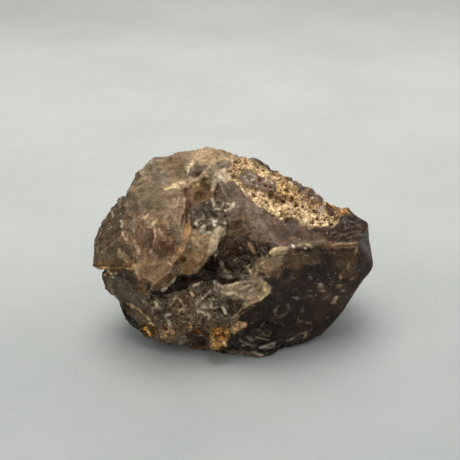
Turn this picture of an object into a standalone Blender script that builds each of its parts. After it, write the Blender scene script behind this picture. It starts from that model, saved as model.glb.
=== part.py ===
"""Smoky quartz crystal: one rough piece, with flat crystal faces at one end and a broken root at the other.

Run it with blender --background --python part.py, or from Blender's text editor.
The row frame is in metres, +Z up, with the origin on the surface that the crystal rests on, under the middle
of its box. +X runs to the faceted end and -Y is the side with the overhanging plates and the hollow.
Corners below are in millimetres, before the finished piece is centred over the origin.
"""

import math

import bmesh
import bpy
import numpy as np
from mathutils import Vector, noise

MM = 0.001
NAME = "smoky_quartz_crystal"

SKIN_MM = 0.5
MOST_TRIANGLES = 9400
SEED = 11

# The middle of the finished piece's box, in the frame of the corners below.
MIDDLE_MM = (-0.25, 3.2, 0)

# The crystal itself: every corner where its flat faces and old breaks meet.
CRYSTAL_CORNERS = {
    "end face": [(35.1, 8, 30.4), (36.8, 6, 30.7), (32.7, -7, 31), (37.7, -2, 22.8), (37.4, -3, 20.8), (36.3, 11, 21)],
    "crest": [(-0.4, 17, 45.7), (8.1, 21, 42.5), (20.4, 20, 35.2), (31.4, 13, 31.2), (33.9, 10, 30.6)],
    "crust edge": [(-0.4, -2, 45.7), (7.4, -4, 41.3), (17.6, -2, 37.4), (23.1, -1, 35.4), (30, -1.5, 32.7)],
    "front ridge": [(10.5, -18.2, 34.9), (13, -17, 34.7), (25.2, -10.7, 32)],
    "front face": [(34.9, -5, 17.9), (30.1, -5, 8.1), (24.6, -6, 2), (8.2, -19.6, 31.5), (7.2, -19.4, 27), (7.5, -18.4, 22.5)],
    "top": [(-2.3, -1, 46.2), (-12, 6, 46.5)],
    "front foot": [(15.5, -10, -0.4), (6.6, -14, -0.4), (-0.5, -13.5, 0.2)],
    "left foot": [(-9.4, -12, 3.9), (-18, -12, 3.5), (-24.9, -9, 4.5), (-27.6, -8, 5.5)],
    "left side": [(-29.5, -7, 8), (-31.7, -5, 12.6), (-34.3, -5, 15.1), (-35, -4, 19), (-35, -1, 28)],
    "front left": [(-11.6, -16.5, 16), (-22.4, -13.5, 14)],
    "back": [(30, 22, 22), (12, 28, 27), (-12, 28, 33), (-27, 20, 31), (-31, 14, 15), (-33, 8, 30)],
    "back foot": [(25, 18, 6), (4, 25, 4), (-18, 21, 5)],
    "base": [(19, 6, -0.4), (8, 15, -0.4), (-13, 12, -0.4), (-17, 0, -0.4), (-8, -9, -0.4)],
}

# Where the front broke inwards: blocks taken out, each with its mouth in front of the stone.
BREAKS = {
    "front hollow": [
        (-3, -26, 42), (-0.5, -26, 42.8), (2.7, -26, 41.5), (6, -26, 38.7), (5.6, -26, 33), (3.2, -26, 29.4),
        (-1.5, -26, 28.3), (-5.3, -26, 27.4), (-9.5, -26, 29.7), (-8.9, -26, 35.4), (-3.2, -12, 34.8), (0.5, -11, 34.6),
        (4, -13, 33.4), (5.2, -13.5, 30.4), (3.2, -12, 25.9), (-1, -11, 24.2), (-5.7, -12, 25), (-8, -13, 28),
    ],
    "hollow brow": [
        (1.2, -10, 42.3), (2.6, -11, 41.6), (5.2, -14, 39.2), (7.6, -17.6, 36.4), (0.8, -12.8, 36.8), (2.8, -13.4, 35.6),
        (6, -16, 34.2), (-1, -24, 44), (2, -24, 43), (8, -24, 39), (-1, -24, 36), (6, -24, 35),
    ],
    "hollow pocket": [
        (4.2, -26, 40.5), (7, -26, 39), (6.8, -26, 36), (4.8, -26, 37), (5.2, -14.5, 33.6), (6.2, -15, 32.8),
        (6, -14.5, 31.4), (4.6, -14, 31.8),
    ],
    "valley": [
        (-12, -7, 50), (-5.8, -7, 50), (-5.6, -13, 47), (-11, -14, 47), (-10.9, -3, 44.2), (-10.8, -9, 41.8),
        (-6.8, -8.5, 42.4), (-7, -3.4, 44.4),
    ],
}

# Softer losses, scooped out of the foot: (centre, radii).
HOLLOWS = {
    "left recess": ((-24, -20, 15), (12.5, 8.5, 9.6)),
    "recess end": ((-34, -12, 16), (6, 6, 6.5)),
    "under gap": ((-9, -17, 1.5), (9, 6.5, 3.6)),
}

# Plates and lumps of quartz that stand proud of the broken end, with a ledge under each.
PLATES = {
    "outer shoulder": [
        (-24.6, 8, 46.6), (-15.2, 12, 49.5), (-7, 13, 49.6), (-9, 0, 46), (-12, -8, 43), (-11.7, 5, 48), (-22.4, 2, 44.5),
        (-28.4, 6, 42.8), (-34, 2, 36.2), (-37, 0, 32.6), (-38, -2, 29.9), (-38.2, -4, 25.9), (-38.2, -5, 21.9),
        (-34, -9, 22.4), (-27.4, -13, 24.7), (-32.5, -9, 31.6), (-29, -5, 37.9), (-20, -15.5, 27),
        (-14, -16, 30), (-14, -13, 38), (-14, 4, 24), (-31, 8, 24), (-27, 18, 40), (-12, 22, 42),
    ],
    "front lobe": [
        (-26.2, -2, 43.8), (-19.5, -1, 46.3), (-12.6, -3, 46), (-11.6, -8, 44.4), (-11.4, -14, 41.3), (-11.6, -18.5, 37.5),
        (-13.4, -21, 32.6), (-16.8, -21.6, 29.2), (-20.8, -20.8, 26), (-24.1, -18.6, 26.3), (-26, -16.5, 27.2),
        (-27.5, -13.5, 33.6), (-27.7, -8, 39.7), (-18.7, -20, 38.2), (-17.6, -14, 43.4), (-24, -15, 39),
        (-20.5, -10, 26.4), (-13, -12, 31), (-24, 0, 34), (-14, 0, 38),
    ],
    "top flake": [
        (-24.9, 8, 46.8), (-23.3, 9, 48.6), (-20.9, 10.5, 49.6), (-23.5, 7, 45.8), (-20.9, 6, 47.4), (-16, 9.5, 49.4),
        (-18, 13, 47.5), (-24, 12, 44.5), (-20, 8, 43),
    ],
    "summit": [
        (-10.9, 13, 49), (-9.6, 13, 49.9), (-7, 13, 50.2), (-4.3, 14, 49.4), (-1, 15.5, 47), (4, 17, 45.4), (-9.6, -1.2, 46.2),
        (-3, -0.8, 46.4), (-5, 6, 48.4), (-10, 4, 40), (0, 8, 38), (4, 14, 38), (-12, 18, 40), (-2, 20, 44),
    ],
    "middle plate": [
        (-11.5, -13.9, 40.1), (-8.7, -12, 40.3), (-5.6, -12, 40), (-2, -13.6, 39.1), (-3.1, -14.4, 36.8), (-4.3, -15.2, 34.7),
        (-4.9, -15.8, 32.6), (-7.4, -17, 30.6), (-9.2, -17.6, 28.6), (-11.3, -18, 27.3), (-12.5, -17, 33),
        (-13, -11, 30), (-6.5, -12, 32), (-3.2, -11, 36.5), (-4, -9, 38.5),
    ],
    "scarp": [
        (-11, -5, 42.6), (-5, -4.8, 43.6), (1.4, -7.8, 42.4), (-10.4, -9.2, 41.2), (-2, -10.2, 40.6), (1.6, -11, 39.8),
        (-11.5, -12.8, 39.8), (-5.6, -12.6, 39.4), (-2, -13.2, 38.5), (-11, -6, 36), (-3, -6, 36), (-6, 0, 40),
    ],
    "lower plate": [
        (-18.9, -20, 29), (-14.2, -19.4, 29.8), (-13.8, -20, 28.4), (-15.4, -20.6, 27), (-18.4, -20.2, 24.8),
        (-21.2, -19.2, 25), (-20, -12, 23.5), (-12.5, -12, 26), (-11, -15.5, 28.4), (-12, -12, 30),
    ],
    "front shelf": [
        (-12, -17.2, 19.4), (-5.3, -19.2, 22.4), (-1.5, -20, 23.6), (4, -20.6, 25.6), (6.6, -21, 27.4), (8.2, -21, 28),
        (9.4, -20.5, 26), (6.6, -19.4, 20.6), (2.4, -17.8, 16), (-3, -16.4, 12), (-12, -15.8, 14), (-11, -10, 21),
        (0, -8, 23), (8, -12, 26.4), (-8, -8, 10), (4, -10, 14),
    ],
}

# Small rounded growths on the lower front edge.
KNOBS = {
    "rust knob": ((-4.4, -15.2, 7.4), (3.1, 3.1, 3.2)),
    "rust knob side": ((-1.2, -15.2, 10.6), (2.2, 2.2, 1.9)),
    "ridge knob": ((11.5, -17.4, 34.6), (2.2, 1.8, 1.2)),
}

# The broken surfaces. Scoops are glassy shell-like breaks, terraces are small stepped plates of crystal.
SCOOPS = 260
SCOOP_RADIUS_MM = (6.0, 22.0)
SCOOP_DEPTH_MM = (0.4, 1.5)
SCOOP_SPARE_MM = 0.6
TERRACE_STEP_MM = 0.5
TERRACE_TILT = 0.24
TERRACE_SIZE_MM = (7.5, 6.5, 5.0)
LEDGE_MM = 0.4
LEDGE_SPACING_MM = 4.6
LEDGE_AXIS = (0.35, 0.3, 0.89)
RIPPLE_MM = 0.3
RIPPLE_SIZE_MM = 2.8

# Where the breaks are calmer than elsewhere: (centre, radii, share of the roughness that is left).
CALM_SPOTS = {
    "lobe": ((-20, -14, 34), (11, 10, 12), 0.25),
    "top": ((-13, 9, 48), (14, 8, 4.5), 0.5),
    "above the lobe": ((-22, -1, 43), (9, 8, 6), 0.35),
    "middle plate": ((-7.5, -15.5, 34), (5.5, 5, 6.5), 0.2),
    "outer shoulder": ((-34, -4, 30), (7, 9, 10), 0.35),
    "valley": ((-6, -8, 43), (6.5, 8, 5.5), 0.4),
    "back face": ((2, 27, 27), (15, 8, 11), 0.15),
    "left face": ((-31, 12, 26), (7, 9, 9), 0.4),
}

# The crust on the slope behind the upper ridge: a thin ragged layer of coarse grains.
CRUST_LAYER_MM = 0.9
CRUST_GRAIN_MM = 1.5
CRUST_SIZE_MM = 3.0


def all_corners(groups):
    """Every corner of a dictionary of named groups, as one list."""
    return [corner for group in groups.values() for corner in group]


def add_object(name, mesh, collection):
    obj = bpy.data.objects.new(name, mesh)
    collection.objects.link(obj)
    return obj


def add_chunk(name, corners, collection):
    """A block with flat faces: the convex hull of its corners."""
    bm = bmesh.new()
    for corner in corners:
        bm.verts.new(Vector(corner) * MM)
    hull = bmesh.ops.convex_hull(bm, input=bm.verts[:])
    inside = {v for v in hull["geom_interior"] + hull["geom_unused"] if isinstance(v, bmesh.types.BMVert)}
    bmesh.ops.delete(bm, geom=list(inside), context="VERTS")
    bmesh.ops.recalc_face_normals(bm, faces=bm.faces[:])
    mesh = bpy.data.meshes.new(name)
    bm.to_mesh(mesh)
    bm.free()
    return add_object(name, mesh, collection)


def add_ellipsoid(name, centre, radii, collection):
    """A round form, used to scoop a hollow or to grow a knob."""
    bm = bmesh.new()
    bmesh.ops.create_icosphere(bm, subdivisions=4, radius=1.0)
    bmesh.ops.scale(bm, vec=Vector(radii) * MM, verts=bm.verts[:])
    bmesh.ops.translate(bm, vec=Vector(centre) * MM, verts=bm.verts[:])
    mesh = bpy.data.meshes.new(name)
    bm.to_mesh(mesh)
    bm.free()
    return add_object(name, mesh, collection)


def add_boolean(obj, operation, collection):
    modifier = obj.modifiers.new(operation.title(), "BOOLEAN")
    modifier.operation = operation
    modifier.operand_type = "COLLECTION"
    modifier.collection = collection
    modifier.solver = "EXACT"
    modifier.use_self = True


def evaluated_mesh(obj):
    bpy.context.view_layer.update()
    graph = bpy.context.evaluated_depsgraph_get()
    return bpy.data.meshes.new_from_object(obj.evaluated_get(graph))


def even_skin(obj):
    """The object as one closed, even skin of small faces."""
    remesh = obj.modifiers.new("Even skin", "REMESH")
    remesh.mode = "VOXEL"
    remesh.voxel_size = SKIN_MM * MM
    return evaluated_mesh(obj)


def fewer_faces(obj):
    """The object with large faces where it is flat and small ones where it is rough."""
    obj.data.calc_loop_triangles()
    decimate = obj.modifiers.new("Fewer faces", "DECIMATE")
    decimate.ratio = MOST_TRIANGLES / len(obj.data.loop_triangles)
    return evaluated_mesh(obj)


def read_points(mesh):
    """Vertex positions in millimetres, one row each."""
    values = np.empty(len(mesh.vertices) * 3)
    mesh.vertices.foreach_get("co", values)
    return values.reshape(-1, 3) / MM


def read_normals(mesh):
    values = np.empty(len(mesh.vertices) * 3)
    mesh.vertex_normals.foreach_get("vector", values)
    return values.reshape(-1, 3)


def write_points(mesh, points):
    mesh.vertices.foreach_set("co", (points * MM).ravel())
    mesh.update()


def smooth_step(low, high, values):
    t = np.clip((values - low) / (high - low), 0, 1)
    return t * t * (3 - 2 * t)


def crust_edge_y(x):
    """Y of the crust's front edge on the upper faces."""
    along = [-6, -0.4, 4.3, 7.4, 11.5, 13.3, 15, 17.7, 23.2, 29.9, 34]
    edge = [-1, -1.5, -3.6, -4, -4.4, -6.2, -4, -2, -1.2, -1, 3]
    return np.interp(x, along, edge)


def broken_share(points):
    """How broken the surface is, from 0 on the crystal faces to 1 on the root, the foot and the back."""
    x, y, z = points.T
    front_split = np.interp(z, [0, 8, 16, 25, 34, 40, 46], [17, 13, 8, 6.5, 5, 1, -1])
    root = 1 - smooth_step(-1.5, 1.5, x - front_split)
    behind = smooth_step(12, 18, y) * (1 - smooth_step(20, 30, x))
    share = np.maximum(root, behind)
    for centre, radii, left in CALM_SPOTS.values():
        away = np.linalg.norm((points - centre) / radii, axis=1)
        share *= left + (1 - left) * smooth_step(0.75, 1.15, away)
    return share


def crust_share(points, normals):
    """Where the grainy crust lies: the slope behind the upper ridge, facing up, down to the back."""
    x, y, z = points.T
    along = smooth_step(-5, 1, x) * (1 - smooth_step(32, 35, x))
    behind = smooth_step(-0.4, 0.4, y - crust_edge_y(x))
    return along * behind * (1 - smooth_step(21, 25, y)) * smooth_step(0.1, 0.45, normals[:, 2])


def scooped(points, normals, rng):
    """Glassy, shell-like breaks: shallow spherical scoops that meet in sharp ridges."""
    broken = broken_share(points) * (1 - crust_share(points, normals))
    points = points + normals * (SCOOP_SPARE_MM * broken)[:, None]
    low, high = points.min(axis=0), points.max(axis=0)
    for _ in range(SCOOPS):
        at = np.argmin(np.linalg.norm(points - rng.uniform(low, high), axis=1))
        radius = rng.uniform(*SCOOP_RADIUS_MM)
        depth = rng.uniform(*SCOOP_DEPTH_MM)
        outward = normals[at] + rng.normal(scale=0.2, size=3)
        outward /= np.linalg.norm(outward)
        if rng.random() > broken[at]:
            continue
        centre = points[at] + outward * (radius - depth)
        away = points - centre
        distance = np.linalg.norm(away, axis=1)
        push = np.clip(radius - distance, 0, depth) * broken
        push *= smooth_step(0.1, 0.4, -(away @ outward) / np.maximum(distance, 1e-6))
        points += away * (push / np.maximum(distance, 1e-6))[:, None]
    return points


def terrace(place):
    """Height at one point of small flat plates, each with its own level and tilt."""
    spot = Vector([place[i] / TERRACE_SIZE_MM[i] for i in range(3)])
    spot += 0.35 * noise.noise_vector(spot * 0.7)
    cell = noise.voronoi(spot)[1][0]
    level = noise.cell(cell * 7.3) - 0.5
    lean = noise.cell_vector(cell * 3.1 + Vector((9, 4, 2))) - Vector((0.5, 0.5, 0.5))
    across = (spot - cell) * TERRACE_SIZE_MM[2]
    return TERRACE_STEP_MM * level + 2 * TERRACE_TILT * lean.dot(across)


def ledge(place):
    """Height at one point of a flight of worn steps: each rises slowly and then drops."""
    along = Vector(LEDGE_AXIS).dot(place) / LEDGE_SPACING_MM + 1.1 * noise.noise(place / 9)
    return LEDGE_MM * (along - math.floor(along) - 0.5)


def grains(place):
    """Height at one point of the crust: a ragged layer under coarse grains with pits between them."""
    spot = place / CRUST_SIZE_MM
    spot += 0.4 * noise.noise_vector(spot * 1.3)
    coarse = noise.voronoi(spot)[0]
    fine = noise.voronoi(spot * 2.1)[0]
    layer = min(max(0.5 + 2.5 * noise.noise(spot * 0.45 + Vector((3, 7, 1))), 0), 1)
    return CRUST_LAYER_MM * layer + CRUST_GRAIN_MM * (0.35 - coarse[0] + 0.4 * (0.35 - fine[0]))


def roughened(points, normals):
    """Uneven ground: plates, ledges and ripples where the stone is broken, grains where it has a crust."""
    crust = crust_share(points, normals)
    broken = broken_share(points) * (1 - crust)
    shift = np.zeros(len(points))
    for i, point in enumerate(points):
        place = Vector(point)
        if broken[i] > 0.01:
            ripple = RIPPLE_MM * noise.noise(place / RIPPLE_SIZE_MM)
            shift[i] += broken[i] * (terrace(place) + ledge(place) + ripple)
        if crust[i] > 0.01:
            shift[i] += crust[i] * grains(place)
    return points + normals * shift[:, None]


def weather(mesh):
    """The broken surfaces and the crust."""
    rng = np.random.default_rng(SEED)
    write_points(mesh, scooped(read_points(mesh), read_normals(mesh), rng))
    write_points(mesh, roughened(read_points(mesh), read_normals(mesh)))


def level(mesh):
    """Flattens the foot where the stone rests."""
    points = read_points(mesh)
    points[points[:, 2] < 0.12, 2] = 0
    write_points(mesh, points)


def centre(mesh):
    """Moves the piece so that the middle of its box is over the origin."""
    write_points(mesh, read_points(mesh) - MIDDLE_MM)


def smoky_quartz_material():
    material = bpy.data.materials.new("smoky_quartz")
    material.use_nodes = True
    shader = material.node_tree.nodes["Principled BSDF"]
    shader.inputs["Base Color"].default_value = (0.16, 0.11, 0.075, 1)
    shader.inputs["Roughness"].default_value = 0.3
    shader.inputs["IOR"].default_value = 1.54
    return material


def clear_scene():
    for obj in list(bpy.data.objects):
        bpy.data.objects.remove(obj)


def add_collection(name):
    collection = bpy.data.collections.new(name)
    bpy.context.scene.collection.children.link(collection)
    return collection


def add_blocks(crystals, plates, hollows):
    """The crystal's block, cut and joined with everything that makes its large forms."""
    block = add_chunk("block", all_corners(CRYSTAL_CORNERS), crystals)
    for name, corners in BREAKS.items():
        add_chunk(name, corners, hollows)
    for name, (centre, radii) in HOLLOWS.items():
        add_ellipsoid(name, centre, radii, hollows)
    for name, corners in PLATES.items():
        add_chunk(name, corners, plates)
    for name, (centre, radii) in KNOBS.items():
        add_ellipsoid(name, centre, radii, plates)
    add_boolean(block, "DIFFERENCE", hollows)
    add_boolean(block, "UNION", plates)
    return block


def build_crystal():
    crystals = add_collection(NAME)
    plates = add_collection("plates")
    hollows = add_collection("hollows")
    block = add_blocks(crystals, plates, hollows)
    rough = add_object("rough stone", even_skin(block), crystals)
    weather(rough.data)
    fine = add_object("fine stone", even_skin(rough), crystals)
    level(fine.data)
    mesh = fewer_faces(fine)
    for helper in [block, rough, fine, *plates.objects, *hollows.objects]:
        bpy.data.objects.remove(helper)
    level(mesh)
    centre(mesh)
    mesh.name = NAME
    mesh.materials.clear()
    mesh.materials.append(smoky_quartz_material())
    mesh.shade_smooth()
    mesh.set_sharp_from_angle(angle=math.radians(35))
    return add_object(NAME, mesh, crystals)


clear_scene()
build_crystal()
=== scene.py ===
"""The looks of the smoky quartz crystal: a finer mesh over the CAD solid, one see-through stone material
whose colour, clearness and roughness change over the surface, a pale floor, soft light and the camera."""

import math

import bmesh
import bpy
import numpy as np
from mathutils import Matrix, Vector, noise
from mathutils.bvhtree import BVHTree
from mathutils.kdtree import KDTree


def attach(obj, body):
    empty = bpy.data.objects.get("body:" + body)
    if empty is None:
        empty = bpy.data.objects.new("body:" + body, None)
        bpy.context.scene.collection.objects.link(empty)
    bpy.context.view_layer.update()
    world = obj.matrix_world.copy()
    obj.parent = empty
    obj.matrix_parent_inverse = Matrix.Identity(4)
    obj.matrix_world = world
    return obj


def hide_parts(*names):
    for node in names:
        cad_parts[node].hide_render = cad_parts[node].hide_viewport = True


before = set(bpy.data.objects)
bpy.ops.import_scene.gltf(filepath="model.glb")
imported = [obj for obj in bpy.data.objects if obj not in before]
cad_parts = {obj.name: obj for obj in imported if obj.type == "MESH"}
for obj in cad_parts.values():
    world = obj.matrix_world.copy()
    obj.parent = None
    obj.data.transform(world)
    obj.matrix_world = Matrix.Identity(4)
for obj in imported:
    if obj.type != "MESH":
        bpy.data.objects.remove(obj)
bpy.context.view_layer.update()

NODE = "smoky_quartz_crystal"
MM = 0.001
PHOTO_PX = 460

# The camera's place, in the frame of the part.
AIM_MM = Vector((-0.75, -3.2, 31.5))
AWAY_MM = 293
ELEVATION = math.radians(26)
HALF_VIEW = math.radians(12)
SENSOR_MM = 36

# How far the outline moves out at each angle round its middle, in pixels of the photograph's frame: 0 is to
# the right and 90 is down. Most of these follow what a scratch program measured, when it compared this mesh
# with an outline drawn by hand over the photograph.
MIDDLE_PX = (232, 252)
PUSH_PX = {0: 1, 6: 2, 12: -0.7, 18: -1.3, 30: -1, 36: 0, 42: 0, 48: 2, 54: 2.2, 60: 3.5, 66: 2.6, 72: 0.5,
           78: 1, 84: 2.5, 90: 0.3, 96: -1, 102: 0.6, 120: 0.6, 126: -1, 132: -0.7, 138: 0.6, 144: 4,
           150: 2, 156: 0.6, 162: 1.5, 165: 0.5, 168: 2.5, 171: 4.5, 174: 0.8, 180: -0.7, 186: -2.2,
           192: -2.7, 198: -4, 204: -3.3, 210: -2.6, 216: -2.6, 222: -1.6, 228: -1, 234: 0.6, 240: 4.4,
           246: 4.4, 252: 5.6, 258: 4.4, 264: 0, 270: -0.8, 276: 2, 282: 3, 288: 1.8, 294: -1, 300: -2.6,
           306: -2, 312: -1.4, 318: -1, 324: -1.4, 330: -1.8, 336: -1, 342: 1.4, 348: 1.8, 354: 0.3}
PX_MM = 0.271
PUSH_GROWS_PX = (50, 95)  # away from the middle
PUSH_GROWS_MM = (0, 6)  # above the floor

# The mesh: longer edges are halved, one round for each number. The side that faces the camera is finer.
FRONT_EDGE_MM = (1.2, 0.85, 0.6, 0.49)
BACK_EDGE_MM = (1.2, 1.0, 0.95, 0.95)
FRONT_FROM = -0.05  # how much a point has to face the camera to be on the front
RAY_START_MM = 0.15
SHARP_FROM = math.radians(38)
FOOT_MM = 0.02  # what is lower than this lies flat on the floor

# Sizes of what varies over the stone, from large to small.
CLOUDS_MM = (11, 4, 1.5)
FACES_MM = 8
FACES_BEND_MM = 1.2
PLATES_MM = 2.4
CRUMBS_MM = 1.2
FINE_MM = 0.8

# Painting: the light where no area says, the share of its own colour that clear quartz hides, the palest
# stain, and how far a colour runs on where the camera doesn't see.
PLAIN_LIGHT = 0.6
CLEAR_HIDES = 0.8
PALEST = 0.85
RUN_ON_MM = (0.6, 5.0)

# Quartz and the smoke in it.
QUARTZ_IOR = 1.54
SMOKE_COLOUR = (0.6, 0.42, 0.28, 1)
SMOKE_DENSITY = 280

# The floor's profile, in metres: it is flat from front to bend, and a round bend leads up to a wall.
FLOOR_FRONT, FLOOR_BEND, BEND_RADIUS, WALL_TOP = -0.9, 0.3, 0.3, 1.0
FLOOR_HALF_WIDTH = 1.2

# Lines in dark or shaded quartz look fainter than lines in the open.
DARK_END_SHARE = 0.76
FOOT_SHARE = 0.66
THINNER = 0.85
THINNEST_PX = 0.7


# -------- the view

ACROSS = Vector((1, 0, 0))
AHEAD = Vector((0, math.cos(ELEVATION), -math.sin(ELEVATION)))
UP = Vector((0, math.sin(ELEVATION), math.cos(ELEVATION)))
EYE_MM = AIM_MM - AHEAD * AWAY_MM


# -------- the mesh


def fine_mesh(node):
    """A finer copy of the CAD solid's mesh."""
    bm = bmesh.new()
    bm.from_mesh(node.data)
    bmesh.ops.remove_doubles(bm, verts=bm.verts, dist=1e-6)
    to_camera = -AHEAD
    for front, back in zip(FRONT_EDGE_MM, BACK_EDGE_MM):
        bm.normal_update()
        long_edges = []
        for e in bm.edges:
            facing = max(v.normal.dot(to_camera) for v in e.verts) > FRONT_FROM
            if e.calc_length() > (front if facing else back) * MM:
                long_edges.append(e)
        bmesh.ops.subdivide_edges(bm, edges=long_edges, cuts=1)
        bmesh.ops.triangulate(bm, faces=bm.faces)
    bmesh.ops.recalc_face_normals(bm, faces=bm.faces)
    mesh = bpy.data.meshes.new("stone")
    bm.to_mesh(mesh)
    bm.free()
    return mesh


def read(rows, name):
    """The named vector of each row, as an array."""
    flat = np.empty(len(rows) * 3, dtype=np.float32)
    rows.foreach_get(name, flat)
    return flat.reshape(-1, 3).astype(float)


def smooth_step(low, high, x):
    t = np.clip((np.asarray(x, float) - low) / (high - low), 0, 1)
    return t * t * (3 - 2 * t)


def wave(points_mm, size_mm, seed=0):
    """Smooth noise from -1 to 1 at each point."""
    at = Vector((seed * 17.3, seed * 5.9, seed * 11.1))
    return np.array([noise.noise(Vector(p) / size_mm + at) for p in points_mm])


def cracks(points_mm, size_mm, seed=0):
    """Small flat plates, each with its own level and lean, as broken quartz has: from about -1 to 1."""
    at = Vector((seed * 3.7, seed * 9.2, seed * 6.1))
    out = np.empty(len(points_mm))
    for i, p in enumerate(points_mm):
        p = Vector(p) / size_mm + at
        _, places = noise.voronoi(p)
        cell = places[0]
        lean = noise.cell_vector(cell * 7.3) - Vector((0.5, 0.5, 0.5))
        out[i] = noise.cell(cell * 5.1) - 0.5 + 1.6 * lean.dot(p - cell)
    return out


def photo_pixels(points_mm):
    """Where each point lies in the photograph's frame."""
    away = points_mm - np.array(EYE_MM)
    depth = away @ np.array(AHEAD)
    k = PHOTO_PX / 2 / math.tan(HALF_VIEW)
    return np.stack([PHOTO_PX / 2 + k * (away @ np.array(ACROSS)) / depth,
                     PHOTO_PX / 2 - k * (away @ np.array(UP)) / depth], axis=1)


def pushed(points_mm):
    """The outer parts moved a little in the picture's plane, so that the outline is right."""
    px = photo_pixels(points_mm) - MIDDLE_PX
    angle = np.degrees(np.arctan2(px[:, 1], px[:, 0])) % 360
    push = np.interp(angle, list(PUSH_PX), list(PUSH_PX.values()), period=360) * PX_MM
    push *= (smooth_step(*PUSH_GROWS_PX, np.linalg.norm(px, axis=1))
             * smooth_step(*PUSH_GROWS_MM, points_mm[:, 2]))
    turn = np.radians(angle)[:, None]
    outward = np.cos(turn) * np.array(ACROSS) - np.sin(turn) * np.array(UP)
    return points_mm + push[:, None] * outward


def seen_share(mesh, points_mm, normals):
    """1 where a point faces the camera and nothing hides it."""
    tree = BVHTree.FromPolygons([v.co for v in mesh.vertices], [p.vertices for p in mesh.polygons])
    eye = EYE_MM * MM
    seen = np.zeros(len(points_mm))
    for i, (p, n) in enumerate(zip(points_mm, normals)):
        start = Vector(p) * MM + Vector(n) * RAY_START_MM * MM
        to_eye = eye - start
        if Vector(n).dot(to_eye) <= 0:
            continue
        hit = tree.ray_cast(start, to_eye.normalized())
        seen[i] = 1 if hit[0] is None else 0
    return seen


# -------- painting

# Each finish: clearness, roughness, share of frost flecks, crust pattern
FINISHES = {
    "glass": (0.75, 0.12, 0.0, 0.0),
    "dull": (0.55, 0.36, 0.0, 0.0),
    "smoky": (0.45, 0.26, 0.12, 0.0),
    "fibrous": (0.4, 0.24, 0.5, 0.0),
    "veil": (0.3, 0.3, 0.12, 0.0),
    "milky": (0.25, 0.3, 0.3, 0.0),
    "crumbly": (0.15, 0.38, 0.85, 0.0),
    "crust": (0.0, 0.75, 0.15, 1.0),
    "rust": (0.0, 0.65, 0.25, 0.45),
    "vein": (0.05, 0.45, 0.15, 0.0),
}

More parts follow.
